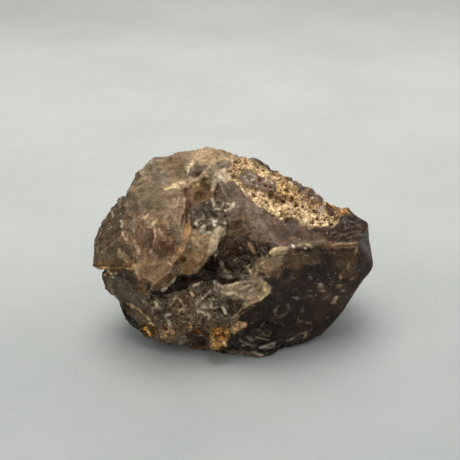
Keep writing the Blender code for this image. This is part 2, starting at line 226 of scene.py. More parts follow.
# What the camera sees, area over area, in pixels of the photograph's frame: the finish, the colour as it
# looks there (sRGB), the light that falls there, the softness of the edge and the outline. The light was
# measured by a scratch program, on a plain grey render of this scene.
AREAS = [
    # the outer shoulder, at the left
    ("milky", (82, 68, 53), 0.78, 3,
     "88,242 98,222 108,206 131,178 140,190 134,205 128,216 122,234 118,250 108,262 90,266"),
    ("milky", (76, 62, 48), 0.78, 4, "96,236 106,220 116,216 122,228 116,242 106,250 96,250"),
    ("milky", (78, 64, 46), 0.5, 3, "94,252 104,250 118,244 124,232 131,236 136,262 118,266 92,264"),
    ("milky", (116, 98, 74), 0.5, 2, "117,248 124,250 130,262 122,264 118,256"),
    ("milky", (82, 63, 43), 0.45, 2, "96,258 118,260 134,259 134,266 118,266 94,265"),
    ("milky", (64, 43, 17), 0.42, 2,
     "90,265 104,265 118,266 133,266 134,269 121,270 112,274 104,277 94,273"),
    # the front lobe
    ("veil", (136, 118, 93), 0.96, 3,
     "130,187 141,174 142,160 155,154 178,149 204,148 200,158 188,166 187,178 186,190 184,201 182,213 "
     "165,216 150,216 138,212 131,203"),
    ("veil", (138, 122, 102), 1.0, 3, "142,176 150,170 164,172 172,178 166,184 150,182"),
    ("veil", (122, 104, 79), 0.95, 3, "158,160 176,156 190,156 190,164 186,172 176,176 164,170"),
    ("veil", (118, 101, 76), 0.98, 4, "140,190 156,184 172,190 176,204 166,212 150,212 140,206"),
    ("veil", (110, 93, 73), 0.86, 3, "124,204 132,193 139,196 140,208 134,216 126,214"),
    ("milky", (108, 88, 67), 0.7, 4,
     "124,214 140,212 165,216 184,212 187,226 185,242 179,258 160,262 140,261 131,252 123,234"),
    ("milky", (94, 69, 49), 0.69, 5, "148,230 160,224 176,226 183,240 177,254 162,258 150,250"),
    ("milky", (112, 87, 62), 0.6, 4, "128,236 140,236 146,250 142,262 134,260"),
    ("milky", (120, 95, 68), 0.53, 4,
     "130,263 141,256 158,259 180,255 179,264 166,277 152,287 140,282 131,274"),
    ("milky", (118, 97, 73), 0.55, 3, "142,268 156,262 168,264 166,272 152,282 142,277"),
    ("veil", (126, 106, 84), 0.91, 4,
     "168,196 178,190 187,186 186,206 184,226 182,246 176,244 172,222 166,210"),
    ("smoky", (84, 56, 38), 0.89, 2, "184,188 192,186 192,198 190,212 187,223 184,214 183,200"),
    ("milky", (150, 118, 80), 0.54, 2, "186,222 191,220 192,229 190,240 185,250 181,254 182,240 184,230"),
    ("milky", (118, 90, 60), 0.38, 3, "178,246 186,244 190,254 186,268 178,264"),
    # the top
    ("milky", (158, 136, 107), 0.96, 3,
     "186,164 191,149 208,145 222,147 237,155 238,166 215,171 198,176 187,184"),
    ("milky", (176, 148, 115), 0.96, 2, "194,160 192,152 200,146 215,146 226,151 222,157 208,161"),
    ("smoky", (88, 76, 64), 0.84, 1.5, "188,168 194,164 208,165 204,172 199,177 187,178"),
    ("milky", (128, 112, 92), 0.95, 2, "206,171 218,162 234,164 234,170 220,170 210,176"),
    ("veil", (178, 160, 136), 0.86, 2,
     "206,184 210,176 219,170 226,167 234,170 236,178 224,182 216,184 212,194 208,192"),
    ("smoky", (76, 60, 46), 0.82, 1.5, "217,183 222,181 229,198 224,202 214,201 213,195"),
    ("smoky", (92, 72, 50), 0.78, 3, "190,184 206,182 212,192 211,204 200,208 190,206"),
    # the crumbly step and the plate in the middle
    ("fibrous", (76, 64, 50), 0.9, 3,
     "190,210 200,204 212,198 228,200 233,208 231,222 227,230 212,232 192,230"),
    ("fibrous", (58, 47, 36), 0.91, 2, "194,206 206,204 220,208 216,218 200,218 194,214"),
    ("veil", (110, 98, 78), 0.67, 2.5, "191,230 200,228 212,232 226,228 226,234 214,241 204,241 192,237"),
    ("milky", (106, 88, 65), 0.43, 2.5,
     "186,238 192,231 212,236 224,232 222,240 216,252 206,264 198,272 188,277 181,270 183,256"),
    ("milky", (100, 78, 52), 0.33, 3, "182,258 192,254 202,262 196,271 188,275 182,270"),
    ("veil", (158, 142, 116), 0.47, 2,
     "212,230 218,227 225,227 224,232 221,240 217,250 213,254 208,256 209,246"),
    # painted shade: the gap under the middle plate and the lobe, painted nearly black
    ("smoky", (22, 15, 10), 0.31, 2,
     "216,252 219,262 216,280 202,288 188,290 177,287 176,276 186,276 198,272 207,262"),
    # the hollow
    ("fibrous", (84, 69, 55), 0.43, 3, "219,240 226,230 238,226 251,230 251,240 240,242 228,238"),
    ("fibrous", (46, 32, 22), 0.32, 2.5, "219,240 226,236 240,240 246,248 246,258 234,262 222,262 217,254"),
    ("fibrous", (112, 92, 70), 0.31, 1.5, "247,240 250,240 254,248 256,254 252,254 248,247"),
    ("fibrous", (50, 36, 23), 0.76, 1.5, "254,243 266,246 268,254 260,256 255,252"),
    ("crumbly", (54, 46, 36), 0.26, 3,
     "219,262 232,257 248,255 262,258 258,268 252,278 238,284 224,285 216,274"),
    # painted shade: the contact shadow under the lobe, painted nearly black
    ("glass", (12, 8, 6), 0.52, 2, "217,276 228,279 240,278 236,284 222,286"),
    # the upper face
    ("veil", (112, 95, 82), 0.93, 2.5,
     "217,186 224,182 234,179 243,187 252,198 266,212 284,222 286,246 262,242 245,240 232,234 229,222 "
     "230,206"),
    ("veil", (100, 82, 69), 0.96, 4,
     "258,206 268,212 284,222 300,216 320,222 336,228 336,247 300,249 284,248 268,232"),
    ("smoky", (88, 69, 56), 0.95, 5, "296,224 322,226 338,230 338,246 312,246 298,240"),
    ("smoky", (104, 86, 70), 0.81, 5, "228,208 242,208 256,222 262,238 250,242 236,234 230,224"),
    ("smoky", (78, 62, 48), 0.59, 4, "232,222 246,222 254,234 246,240 234,234"),
    ("veil", (112, 97, 78), 0.84, 3, "296,244 306,240 330,240 334,248 312,250 298,249"),
    # the crust over it
    ("crust", (186, 160, 124), 0.89, 2,
     "236,160 246,153 262,158 280,171 300,181 325,197 350,211 348,226 337,229 330,226 318,227 308,228 "
     "300,220 292,216 287,217 283,222 276,216 266,210 262,205 250,196 233,180 226,170"),
    ("veil", (118, 98, 80), 0.93, 2.5,
     "240,172 252,169 264,177 276,182 280,191 272,192 258,190 246,187 239,180"),
    ("smoky", (96, 82, 68), 0.93, 1.5, "246,154 256,157 266,162 276,171 272,171 262,164 252,159"),
    ("crust", (236, 208, 166), 0.72, 1.5, "240,158 247,157 250,162 256,165 250,168 242,168"),
    ("crust", (228, 202, 164), 0.83, 1.5, "252,168 262,167 270,171 279,178 272,180 262,176 254,172"),
    ("crust", (214, 190, 156), 0.78, 2, "249,189 258,190 266,196 276,199 270,204 262,206 256,203 250,197"),
    ("crust", (240, 216, 174), 0.84, 1.5,
     "262,206 268,202 284,201 292,206 289,212 284,216 281,221 278,217 272,212 265,210"),
    ("crust", (180, 150, 112), 0.88, 2, "278,182 290,180 298,188 302,198 292,204 282,200 276,192"),
    ("rust", (122, 101, 76), 0.86, 2, "270,190 280,192 288,198 286,203 276,202 270,198"),
    ("crust", (226, 200, 160), 0.85, 2,
     "288,206 302,208 316,212 330,214 338,220 337,228 326,225 312,226 300,218 290,214"),
    ("rust", (150, 124, 99), 0.93, 2, "300,194 308,190 320,196 326,206 318,210 308,204"),
    ("veil", (166, 146, 128), 0.93, 1.5, "318,207 324,204 326,211 320,213"),
    ("smoky", (74, 42, 15), 0.98, 1.5, "326,200 334,206 335,214 330,216 327,208"),
    ("rust", (184, 144, 102), 0.98, 1.5, "332,202 340,206 350,210 346,215 336,214"),
    ("smoky", (100, 84, 70), 0.99, 1, "283,176 298,182 312,190 326,199 322,201 306,192 292,184"),
    ("smoky", (56, 41, 34), 0.95, 2.5,
     "330,229 338,222 340,216 348,213 358,218 368,224 368,242 345,244 328,241 322,234"),
    # the dark end
    ("glass", (20, 10, 6), 0.47, 3,
     "264,260 285,250 300,248 333,247 357,244 362,282 340,318 319,342 300,350 276,358 240,362 220,353 "
     "232,330 242,311 258,300 270,284 262,270"),
    ("smoky", (66, 51, 37), 0.5, 6, "284,250 330,250 331,257 322,262 310,266 298,270 286,268"),
    ("glass", (34, 22, 14), 0.5, 8,
     "322,256 332,250 357,248 361,280 346,306 332,316 314,318 308,300 312,288 326,282 331,268"),
    ("smoky", (54, 39, 26), 0.5, 5, "332,251 354,250 356,262 360,274 352,281 342,276 335,262"),
    ("glass", (18, 8, 5), 0.48, 7, "302,278 312,270 332,266 334,278 326,284 312,288 304,286"),
    ("smoky", (84, 66, 48), 0.55, 1.5, "318,243 333,243 357,241 358,254 355,256 354,248 340,249 322,249"),
    ("smoky", (72, 57, 43), 0.48, 6, "262,258 270,253 287,252 288,266 282,280 274,284 266,280 262,272"),
    ("glass", (32, 23, 15), 0.48, 5,
     "268,280 278,276 292,272 302,272 300,280 288,288 284,298 276,298 268,290"),
    ("milky", (150, 130, 98), 0.52, 1.5, "268,252 272,248 280,246 288,247 287,254 279,255 272,256"),
    ("milky", (102, 86, 66), 0.48, 2.5, "252,262 264,256 282,256 284,264 270,272 258,272 256,282 250,284"),
    ("dull", (34, 21, 12), 0.56, 2, "359,222 368,224 374,262 372,274 360,284 359,250"),
    # the shelf and what is under it
    ("crumbly", (66, 54, 41), 0.39, 4,
     "118,290 150,286 190,286 214,284 240,296 244,310 234,330 222,348 190,346 150,344 126,322"),
    ("crumbly", (94, 80, 63), 0.43, 4, "190,300 206,296 222,300 222,316 208,322 194,318"),
    ("crumbly", (80, 62, 46), 0.38, 4, "168,296 188,292 196,304 190,322 174,318"),
    ("crumbly", (58, 46, 34), 0.37, 3, "140,288 158,290 168,298 160,306 146,302"),
    ("fibrous", (46, 35, 25), 0.46, 3, "208,300 226,300 244,300 240,312 226,318 214,312"),
    ("milky", (114, 100, 83), 0.48, 2,
     "211,288 228,284 246,281 262,275 266,281 256,292 244,299 230,299 214,294"),
    ("milky", (124, 107, 84), 0.45, 1.5,
     "261,281 266,281 271,287 268,295 260,301 246,307 242,304 254,298 262,292"),
    ("milky", (62, 55, 44), 0.36, 3, "104,276 116,270 134,270 142,282 150,288 146,306 128,308 108,302"),
    ("milky", (62, 55, 45), 0.35, 3, "116,276 130,274 138,286 132,298 118,296"),
    ("milky", (66, 54, 40), 0.42, 3, "120,300 138,304 152,316 158,328 148,328 134,316 124,310"),
    ("smoky", (15, 13, 10), 0.42, 2, "112,300 124,310 136,322 142,334 132,334 120,318"),
    ("crust", (74, 54, 29), 0.39, 2, "140,326 150,322 156,328 152,337 142,335"),
    ("crust", (118, 98, 74), 0.34, 2, "158,328 168,326 176,332 172,340 160,341"),
    ("crumbly", (62, 46, 29), 0.4, 3,
     "176,318 192,318 206,324 216,322 234,324 236,332 212,334 208,344 186,342 176,332"),
    ("fibrous", (38, 23, 10), 0.35, 2, "184,334 200,330 210,336 208,346 190,346"),
    ("crust", (122, 93, 58), 0.46, 1.5, "211,329 220,326 229,330 231,340 226,350 216,352 209,344"),
    ("crust", (132, 112, 86), 0.41, 1.2, "231,326 238,321 246,322 249,327 240,330 234,335 230,332"),
    ("fibrous", (15, 11, 8), 0.38, 2,
     "229,338 240,332 252,328 272,332 302,334 302,350 262,362 232,358 222,350"),
    ("milky", (62, 50, 38), 0.27, 1.5, "226,351 236,350 252,352 264,355 252,361 236,360"),
    ("milky", (82, 62, 42), 0.38, 1.2,
     "152,286 160,281 170,275 176,270 179,272 174,280 167,287 160,292 153,291"),
    # painted shade under the lobe's lower rim
    ("glass", (16, 10, 7), 0.33, 1.5,
     "150,290 156,292 168,288 176,280 180,276 190,278 188,288 168,294 152,296"),
    ("milky", (88, 71, 51), 0.3, 2, "136,280 146,284 152,288 148,296 138,292"),
]


def fainter(share, lines):
    """The same lines, darker and a little thinner."""
    return [(tuple(round(v * share) for v in colour), max(THINNEST_PX, round(half * THINNER, 1)), *rest)
            for colour, half, *rest in lines]


# Thin things: the colour, half the width in pixels, how far it stands out in mm, the line, and the finish
# where it isn't a vein.
LINES = [
    # the outer shoulder
    ((160, 148, 130), 1.4, 0.1, "112,213 113,216"),
    ((214, 196, 164), 1.0, 0.15, "121,221 122,228"),
    ((196, 178, 146), 1.0, 0.15, "122,232 125,239"),
    ((206, 188, 152), 1.1, 0.15, "128,233 126,239"),
    ((150, 136, 110), 0.8, 0.1, "128,226 131,228 134,232"),
    ((150, 130, 100), 0.9, 0.15, "102,252 108,247 117,240 122,236"),
    ((160, 138, 106), 0.8, 0.15, "119,249 122,256 127,262"),
    ((188, 150, 92), 0.8, 0.1, "98,268 106,268 120,268 132,269"),
    ((96, 66, 34), 0.9, 0, "98,263 110,264 120,265 133,264"),
    ((150, 130, 104), 0.7, 0.1, "98,252 97,240 101,228"),
    # the lip and the flake
    ((170, 160, 145), 0.9, 0.2, "143,172 142,167 147,164 154,161 158,158"),
    ((205, 192, 168), 0.9, 0.2, "153,163 158,160"),
    ((176, 152, 118), 0.8, 0.2, "131,187 137,182 145,178"),
    ((70, 50, 36), 0.8, -0.1, "133,187 140,184 147,180"),
    ((160, 136, 104), 0.8, 0.15, "137,189 138,196 139,204"),
    ((210, 190, 150), 0.8, 0.1, "160,172 163,171"),
    ((140, 122, 96), 0.7, 0.1, "118,204 124,194 130,188"),
    ((74, 56, 40), 0.8, -0.1, "123,203 124,208"),
    # the cream patch and the fibres beside the groove
    ((226, 202, 158), 2.0, 0.15, "172,186 179,181 186,182"),
    ((200, 176, 134), 1.6, 0.1, "165,189 172,187 178,186"),
    ((216, 190, 138), 1.6, 0.1, "190,183 194,186 198,184"),
    ((168, 144, 116), 0.8, 0.1, "180,188 179,198 176,208"),
    ((150, 128, 104), 0.7, 0.1, "175,198 172,208 171,216"),
    ((176, 152, 124), 1.0, 0.1, "184,198 184,206 183,212"),
    ((150, 126, 102), 0.7, 0.1, "181,206 181,218 179,228"),
    ((146, 122, 98), 0.7, 0.1, "177,212 175,222 174,230"),
    ((160, 138, 112), 1.1, 0.1, "168,206 172,209 176,207"),
    ((138, 114, 92), 0.7, 0.1, "184,220 182,234 180,246"),
    ((196, 172, 146), 0.9, 0.1, "174,226 176,229"),
    ((60, 34, 24), 0.9, -0.15, "187,213 187,222"),
    ((70, 44, 32), 0.8, -0.1, "183,214 182,224"),
    ((214, 182, 126), 1.0, 0.1, "190,224 190,231 187,240 184,249"),
    ((142, 106, 66), 1.3, 0, "186,226 187,236"),
    # the middle of the lobe
    ((168, 148, 122), 0.9, 0.1, "142,219 146,216 149,213"),
    ((220, 198, 156), 1.1, 0.15, "147,226 151,228 154,223 157,219"),
    ((196, 174, 138), 0.8, 0.1, "150,225 154,221"),
    ((156, 134, 108), 0.8, 0.1, "154,226 155,236 153,246 151,252"),
    ((170, 148, 122), 1.1, 0.1, "150,250 151,254"),
    ((152, 128, 106), 0.8, 0.1, "134,240 136,248 138,258"),
    ((168, 146, 124), 0.9, 0.1, "137,246 139,254"),
    ((140, 112, 92), 0.8, 0.1, "159,222 163,219 167,222 168,228"),
    ((132, 104, 84), 0.8, 0.1, "158,228 161,233 166,232"),
    ((64, 44, 30), 0.8, -0.1, "152,228 152,240 150,248"),
    ((66, 46, 32), 0.8, -0.1, "168,234 168,248"),
    ((64, 46, 32), 0.9, -0.1, "142,222 146,232"),
    ((78, 56, 40), 0.8, -0.1, "160,240 162,254"),
    ((150, 122, 96), 0.8, 0.1, "142,262 148,256 156,256"),
    ((150, 120, 96), 0.7, 0.1, "176,246 175,254 172,262"),
    # the lobe's lower rim
    ((214, 202, 182), 1.2, 0.25, "162,291 167,287 172,282 176,276"),
    ((220, 206, 178), 1.2, 0.2, "149,288 152,290"),
    ((176, 146, 118), 1.3, 0.15, "134,266 136,274 140,279"),
    ((166, 138, 106), 1.0, 0.15, "152,285 160,279 168,272 174,266"),
    ((160, 130, 100), 0.8, 0.1, "141,262 138,268"),
    ((186, 156, 122), 0.8, 0.1, "168,262 173,266 178,256"),
    # painted shade in the gaps under the lobe's rim
    ((44, 28, 18), 1.2, -0.3, "177,262 173,268 171,276"),
    ((34, 22, 14), 1.2, -0.3, "147,283 148,288"),
    # the summit
    ((210, 184, 142), 0.9, 0.15, "192,166 193,158"),
    ((196, 168, 126), 0.8, 0.15, "198,178 207,169 214,162 224,159 234,160"),
    ((184, 160, 124), 0.8, 0.1, "210,163 220,158 232,158"),
    ((206, 192, 166), 1.0, 0.1, "187,176 188,168 191,164"),
    ((170, 152, 124), 0.7, 0.1, "190,180 200,178 206,172"),
    ((226, 210, 176), 1.1, 0.1, "206,176 208,177"),
    ((212, 198, 170), 1.8, 0.15, "220,178 221,172 225,169"),
    ((206, 192, 166), 1.4, 0.1, "213,182 218,179 226,181"),
    ((150, 134, 112), 0.8, 0.1, "220,184 224,192 227,198"),
    ((190, 178, 154), 1.2, 0.1, "212,184 211,190"),
    ((60, 46, 34), 0.9, -0.15, "218,184 214,196"),
    # the crumbly step
    ((206, 190, 162), 1.2, 0.2, "212,200 214,202 214,206"),
    ((222, 204, 172), 1.5, 0.25, "215,209 219,209 221,207 223,204"),
    ((218, 202, 176), 1.5, 0.25, "226,210 230,209 233,206 234,203"),
    ((180, 166, 140), 1.0, 0.2, "223,203 227,203 229,204"),
    ((206, 192, 160), 1.2, 0.2, "194,223 197,224"),
    ((196, 182, 152), 1.0, 0.2, "197,221 200,219 203,218 203,216"),
    ((238, 230, 206), 2.0, 0.3, "201,231 203,229 204,227"),
    ((232, 226, 206), 1.8, 0.3, "213,220 216,221"),
    ((230, 224, 200), 1.6, 0.3, "213,223 215,226"),
    ((196, 182, 156), 1.1, 0.2, "218,213 220,216"),
    ((226, 216, 190), 1.4, 0.2, "208,234 210,233"),
    ((160, 148, 124), 0.9, 0.2, "192,212 194,217"),
    ((150, 138, 116), 0.9, 0.2, "206,226 209,223 211,219"),
    ((150, 136, 114), 0.9, 0.2, "222,217 225,220 224,224"),
    ((34, 28, 22), 1.4, -0.3, "203,221 206,224"),
    ((40, 33, 26), 1.2, -0.3, "209,211 212,214 216,216"),
    ((40, 30, 22), 1.0, -0.3, "192,225 195,229 199,230"),
    ((44, 35, 28), 1.0, -0.2, "220,211 224,213 226,217"),
    ((48, 38, 30), 1.0, -0.2, "199,208 204,212 206,217"),
    # the middle plate
    ((222, 192, 138), 0.8, 0.15, "189,234 193,238 196,241 198,246"),
    ((150, 134, 108), 0.7, 0.1, "193,238 194,246"),
    ((180, 168, 138), 0.9, 0.1, "204,234 210,232"),
    ((176, 166, 142), 0.9, 0.2, "226,223 225,233 221,240 216,249"),
    ((176, 148, 108), 0.8, 0.15, "208,256 204,262 198,269"),
    ((90, 68, 46), 0.8, -0.1, "190,250 193,256 200,258"),
    ((208, 200, 184), 1.1, 0.1, "216,255 215,261"),
    ((120, 84, 44), 0.8, -0.1, "192,226 191,236"),
    # the hollow
    ((214, 200, 176), 1.5, 0.35, "221,262 222,266 224,270 227,274 231,276"),
    ((150, 132, 108), 0.9, 0.2, "228,275 230,272"),
    ((134, 120, 98), 0.9, 0.2, "248,268 251,272 254,276"),
    ((120, 104, 84), 0.8, 0.2, "235,270 239,274 243,277"),
    ((24, 17, 12), 1.2, -0.3, "225,262 229,268 234,272"),
    ((130, 110, 86), 0.7, 0.2, "247,242 250,246 253,250"),
    ((160, 138, 110), 0.8, 0.2, "253,250 255,253"),
    ((130, 108, 84), 0.8, 0.2, "251,240 253,246 255,250"),
    ((14, 10, 7), 1.0, -0.3, "221,240 219,248"),
    ((110, 92, 70), 0.8, 0.2, "236,264 238,269 240,272"),
    ((176, 164, 140), 0.9, 0.2, "244,266 248,267 250,265"),
    ((120, 106, 84), 0.8, 0.2, "233,262 237,258"),
    ((20, 14, 10), 1.1, -0.3, "226,264 230,268"),
    ((22, 15, 10), 1.1, -0.3, "242,260 250,262"),
    ((20, 14, 10), 1.0, -0.3, "240,272 248,274"),
    # the upper face
    ((226, 204, 162), 0.9, 0.15, "234,180 240,186 247,192 251,196"),
    ((214, 192, 150), 1.0, 0.1, "242,190 245,194 248,196"),
    ((72, 56, 46), 0.8, -0.05, "240,190 244,195"),
    ((130, 112, 96), 0.8, 0.02, "258,218 266,228 274,240"),
    ((126, 108, 92), 0.8, 0.02, "248,214 256,226 268,240"),
    ((120, 102, 86), 0.7, 0.02, "262,226 272,238 282,246"),
    ((126, 106, 84), 0.7, 0.05, "240,224 246,226 250,232"),
    ((136, 120, 100), 0.7, 0.05, "250,226 254,230"),
    ((134, 116, 98), 0.7, 0.02, "232,214 238,212"),
    ((240, 232, 218), 1.2, 0.15, "292,245 294,247"),
    ((190, 168, 132), 1.0, 0.08, "297,246 304,243 309,245"),
    ((184, 162, 126), 0.9, 0.08, "309,244 312,248"),
    ((150, 130, 96), 0.8, 0.08, "332,246 338,244 344,243"),
    ((132, 112, 82), 0.7, 0.08, "344,244 352,243 357,243 357,252"),
    ((130, 112, 96), 0.8, 0.05, "290,238 295,237"),
    # the crust
    ((196, 186, 170), 1.0, 0.2, "245,176 249,174 254,175 256,178 252,180"),
    ((190, 180, 162), 0.9, 0.2, "246,180 249,183"),
    ((170, 154, 130), 0.8, 0.2, "233,162 238,161 241,165 238,168"),
    ((206, 188, 156), 0.8, 0.2, "232,166 234,163"),
    ((226, 200, 150), 1.0, 0.2, "255,169 264,174 274,179"),
    ((240, 222, 182), 1.3, 0.2, "252,198 256,203 261,206"),
    ((58, 40, 28), 1.0, -0.4, "276,185 276,191"),
    ((222, 196, 160), 1.3, 0.2, "277,185 280,186"),
    ((216, 190, 148), 1.0, 0.2, "289,182 294,186"),
    ((222, 196, 150), 1.0, 0.2, "283,221 286,217 291,216"),
    ((214, 190, 148), 1.0, 0.2, "298,219 304,226"),
    ((240, 220, 190), 1.1, 0.2, "311,198 313,198"),
    ((200, 176, 150), 1.0, 0.2, "303,204 306,208 312,210"),
    ((206, 184, 150), 1.0, 0.2, "300,198 304,195"),
    # the streaks beside it
    ((150, 128, 106), 0.7, 0.15, "331,234 335,232"),
    ((108, 88, 72), 0.7, 0.15, "344,229 352,227 360,225"),
    ((98, 78, 62), 0.7, 0.15, "340,236 350,233 361,231"),
    ((112, 92, 74), 0.6, 0.15, "346,238 354,236 362,235"),
    ((24, 16, 13), 0.8, -0.15, "344,232 354,229 363,228"),
    ((26, 18, 14), 0.8, -0.15, "338,241 350,239 362,238"),
    ((140, 120, 100), 0.8, 0.15, "343,219 345,223 346,228"),
    ((26, 18, 14), 1.0, -0.15, "341,221 343,227"),
    # in the dark end
    # a painted glint: a small pale ring, whose dark middle is the first of the fainter lines below
    ((214, 198, 174), 1.1, 0.0, "320,282 318,285 320,288 322,290 323,287 321,283"),
    *fainter(DARK_END_SHARE, [
        ((70, 52, 36), 0.8, 0.0, "320,285 321,287"),
        ((176, 156, 126), 1.5, 0.0, "302,252 304,256"),
        ((140, 120, 92), 1.2, 0.0, "312,249 316,252 318,256"),
        ((120, 102, 78), 1.0, 0.0, "292,253 296,255"),
        ((110, 92, 70), 0.9, 0.0, "312,260 318,262 324,266"),
        ((110, 94, 74), 0.9, 0.0, "305,262 310,264"),
        ((136, 122, 102), 1.0, 0.0, "309,274 311,279"),
        ((112, 90, 66), 0.9, 0.0, "291,274 292,279"),
        ((180, 176, 166), 1.4, 0.0, "294,298 298,298"),
        ((116, 102, 84), 0.8, 0.0, "309,290 310,295 312,298 315,300"),
        ((92, 88, 100), 1.0, 0.0, "303,283 305,284"),
        ((168, 148, 124), 1.1, 0.0, "331,284 333,286"),
        ((176, 154, 124), 1.5, 0.0, "336,287 339,286 343,286"),
        ((140, 120, 96), 1.0, 0.0, "342,291 345,291"),
        ((180, 150, 118), 1.3, 0.0, "340,275 341,278"),
        ((136, 104, 74), 1.0, 0.0, "348,262 349,270"),
        ((140, 122, 94), 1.0, 0.0, "350,280 354,278"),
        ((180, 158, 130), 1.6, 0.0, "334,301 337,297"),
        ((140, 122, 100), 1.0, 0.0, "332,303 337,304"),
        ((110, 86, 62), 0.9, 0.0, "326,300 330,294"),
        ((112, 106, 96), 1.0, 0.0, "301,302 302,305"),
        ((104, 98, 86), 0.9, 0.0, "301,307 304,312"),
        ((102, 92, 76), 1.0, 0.0, "298,313 298,319 300,324 301,329"),
        ((150, 140, 124), 1.2, 0.0, "279,318 283,316 286,313"),
        ((124, 118, 106), 1.1, 0.0, "275,310 277,312"),
        ((96, 92, 82), 0.9, 0.0, "288,305 289,309"),
        ((88, 82, 70), 0.9, 0.0, "276,305 279,306"),
        ((124, 114, 100), 1.0, 0.0, "303,322 308,323 311,323"),
        ((112, 102, 88), 0.9, 0.0, "311,323 312,329 309,333"),
        ((156, 138, 108), 2.4, 0.1, "301,333 305,333 305,337", "milky"),
        ((146, 130, 108), 1.1, 0.1, "287,341 290,340 293,338"),
        ((96, 84, 68), 0.9, 0.0, "296,337 299,334"),
        ((96, 72, 50), 1.8, 0.0, "258,332 262,325 266,320"),
        ((84, 76, 62), 1.0, 0.0, "268,330 272,334"),
        ((80, 72, 58), 0.9, 0.0, "275,322 277,327"),
        ((84, 74, 58), 0.9, 0.0, "282,323 285,329"),
        ((78, 62, 48), 1.0, 0.0, "262,306 266,302"),
    ]),
    # the ridge over the shelf
    ((190, 172, 132), 1.2, 0.2, "270,253 274,250 280,247 287,248"),
    ((176, 158, 130), 1.2, 0.15, "279,257 282,256"),
    ((150, 130, 100), 1.0, 0.15, "264,262 258,266 256,274 253,281"),
    ((34, 22, 16), 1.3, -0.4, "262,274 266,276"),
    ((140, 120, 94), 0.8, 0.15, "262,272 266,272 268,277"),
    # the shelf
    ((216, 200, 166), 1.0, 0.3, "228,286 238,283 248,281 255,281"),
    ((190, 168, 130), 0.9, 0.3, "236,292 243,288 250,285"),
    ((206, 186, 148), 1.2, 0.3, "228,294 236,292 238,296"),
    ((60, 40, 24), 1.1, -0.3, "243,293 250,288 257,285"),
    ((216, 190, 140), 1.1, 0.35, "262,282 267,284 270,288 267,294 261,300"),
    ((200, 176, 120), 1.5, 0.2, "265,285 265,290"),
    ((120, 96, 76), 1.4, 0.1, "252,290 258,288"),
    ((184, 162, 122), 0.9, 0.2, "240,296 248,299 254,297"),
    ((226, 216, 196), 1.1, 0.3, "214,281 215,289"),
    ((196, 182, 156), 1.0, 0.3, "218,284 224,288"),
    ((206, 192, 162), 0.9, 0.3, "221,292 228,294"),
    ((222, 210, 184), 1.1, 0.3, "200,301 205,296 210,291"),
    ((30, 22, 16), 0.9, -0.2, "203,301 209,295"),
    ((190, 176, 148), 1.1, 0.2, "193,286 198,284 202,282"),
    ((150, 126, 92), 1.0, 0.2, "233,318 240,311 250,305 260,300"),
    ((100, 86, 66), 0.8, 0.2, "236,319 246,310 256,305"),
    ((24, 17, 12), 1.1, -0.3, "240,313 250,307 260,303"),
    # the rough zone under it
    ((226, 214, 190), 1.8, 0.3, "203,307 205,306"),
    ((222, 212, 190), 1.2, 0.3, "211,303 211,307"),
    ((228, 218, 200), 1.4, 0.3, "198,312 199,315"),
    ((204, 192, 168), 1.0, 0.2, "209,315 209,319"),
    ((196, 184, 164), 1.2, 0.2, "224,309 225,313"),
    ((226, 216, 202), 1.2, 0.3, "168,320 169,324 170,328"),
    ((184, 174, 158), 1.0, 0.2, "166,315 171,314"),
    ((194, 182, 162), 0.9, 0.2, "173,300 176,298"),
    ((188, 170, 144), 1.3, 0.2, "155,302 158,306 160,308"),
    ((204, 184, 158), 1.3, 0.2, "191,293 193,295"),
    ((194, 168, 122), 1.0, 0.2, "188,322 190,325 191,328"),
    ((172, 150, 112), 1.1, 0.2, "179,318 184,322"),
    ((150, 134, 108), 0.9, 0.2, "212,310 218,306"),
    ((150, 132, 106), 0.9, 0.2, "180,300 184,306 184,312"),
    ((200, 184, 152), 1.1, 0.2, "205,305 209,301"),
    ((190, 174, 144), 1.1, 0.2, "199,311 204,313"),
    ((176, 162, 134), 1.0, 0.2, "210,300 212,306"),
    ((180, 164, 136), 1.2, 0.2, "222,307 224,311"),
    ((190, 176, 150), 0.9, 0.2, "196,305 199,300"),
    ((160, 144, 118), 0.8, 0.2, "202,318 208,314"),
    ((150, 132, 106), 0.9, 0.2, "156,300 162,304"),
    ((140, 124, 98), 0.9, 0.2, "168,306 174,302"),
    ((150, 132, 108), 0.9, 0.2, "176,296 180,300"),
    ((140, 124, 100), 0.9, 0.2, "152,308 158,306"),
    ((196, 178, 146), 1.0, 0.2, "166,318 169,325"),
    ((150, 132, 104), 0.9, 0.2, "180,310 186,306"),
    ((160, 140, 112), 0.9, 0.2, "190,292 194,296"),
    ((130, 112, 88), 0.9, 0.2, "142,300 147,304"),
    ((160, 136, 100), 1.0, 0.2, "128,304 138,309 148,318 153,326"),
    ((34, 26, 18), 1.1, -0.2, "160,296 168,299"),
    ((34, 26, 18), 1.1, -0.2, "186,300 190,308"),
    ((40, 30, 21), 1.1, -0.2, "172,312 180,318"),
    ((34, 26, 18), 1.1, -0.2, "148,296 154,300"),
    ((36, 28, 20), 1.1, -0.2, "214,316 220,320"),
    ((100, 94, 80), 0.8, 0.2, "108,282 112,290 112,297"),
    ((96, 88, 74), 0.8, 0.2, "122,276 128,282 132,290"),
    ((150, 140, 120), 0.9, 0.1, "110,297 116,298"),
    # the foot
    *fainter(FOOT_SHARE, [
        ((160, 152, 138), 1.4, 0.2, "260,348 266,346 271,344 275,343"),
        ((130, 122, 108), 0.9, 0.2, "275,343 273,347 267,348"),
        ((132, 120, 100), 1.0, 0.2, "256,337 263,339 270,340"),
        ((112, 102, 84), 0.9, 0.2, "262,333 266,336 270,336"),
        ((150, 134, 110), 1.2, 0.2, "252,352 258,354 264,356"),
        ((120, 108, 88), 0.9, 0.2, "240,340 247,344 254,346"),
        ((110, 98, 80), 0.9, 0.2, "246,337 252,340"),
    ]),
    ((222, 190, 146), 1.3, 0.2, "163,334 168,331"),
